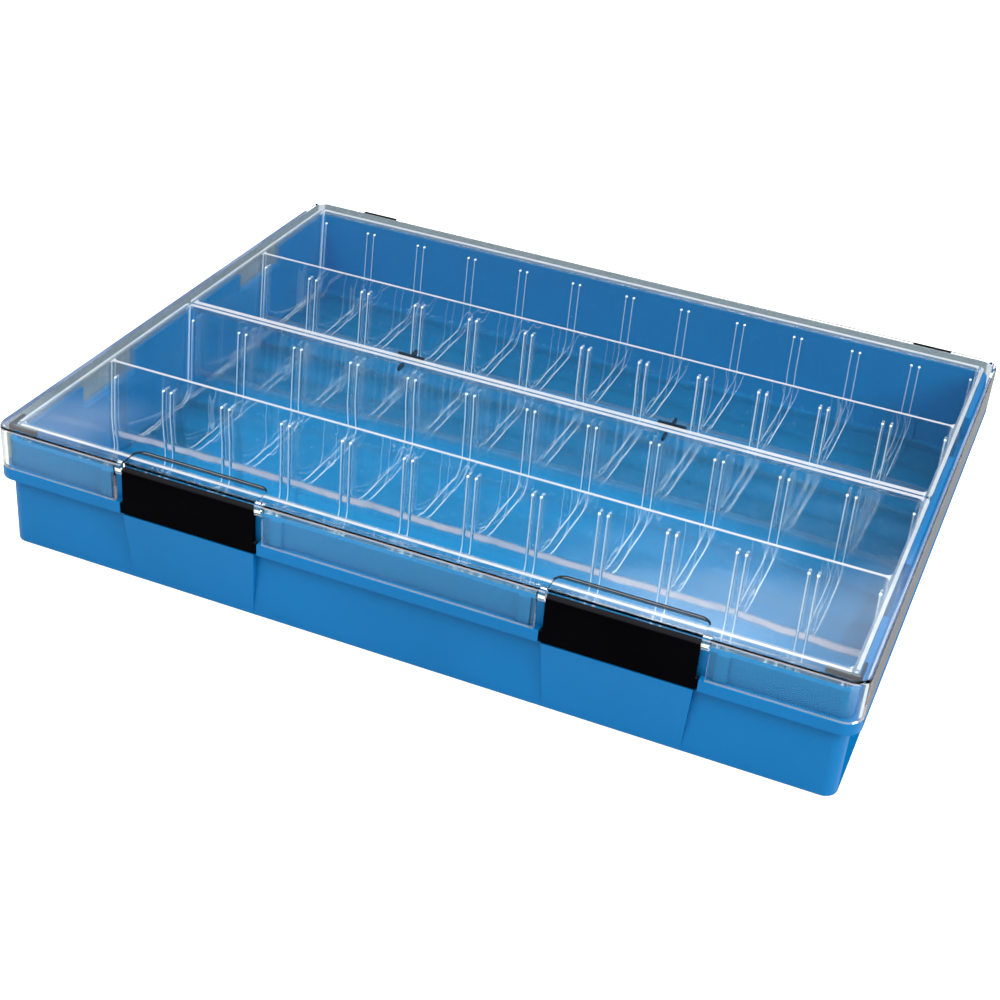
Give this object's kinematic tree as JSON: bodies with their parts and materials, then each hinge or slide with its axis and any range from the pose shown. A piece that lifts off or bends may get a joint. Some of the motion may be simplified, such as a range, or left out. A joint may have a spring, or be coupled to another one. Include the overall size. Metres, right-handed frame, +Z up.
{
  "type": "sewing box with trays",
  "caption": "Flat hobby case with a clear hinged lid, snap latches and lift-out trays whose ribbed rows hold thread or small parts.",
  "frame": {"origin": "centre of the underside, on the surface that the case stands on", "axes": "+X along the front to the right, +Y to the hinge side, +Z up"},
  "size_m": [0.335, 0.262, 0.0512],
  "materials": {
    "blue_plastic": "satin moulded",
    "clear_plastic": "polished clear",
    "black_plastic": "fine texture",
    "pin_steel": "drawn"
  },
  "bodies": {
    "case": {"base_case": "blue_plastic", "tray_front": "clear_plastic", "tray_back": "clear_plastic", "hinge_pin_left": "pin_steel", "hinge_pin_right": "pin_steel"},
    "lid": {"lid": "clear_plastic", "latch_pin_left": "pin_steel", "latch_pin_right": "pin_steel"},
    "latch_left": {"latch_left": "black_plastic"},
    "latch_right": {"latch_right": "black_plastic"}
  },
  "joints": [
    {"name": "lid_hinge", "type": "hinge", "parent": "case", "child": "lid", "pos_m": [0, 0.1288, 0.0341], "axis": [-1, 0, 0], "range_deg": [0, 105]},
    {"name": "latch_left_pivot", "type": "hinge", "parent": "lid", "child": "latch_left", "pos_m": [-0.0837, -0.1292, 0.0475], "axis": [-1, 0, 0], "range_deg": [0, 100]},
    {"name": "latch_right_pivot", "type": "hinge", "parent": "lid", "child": "latch_right", "pos_m": [0.0837, -0.1292, 0.0475], "axis": [-1, 0, 0], "range_deg": [0, 100]}
  ]
}
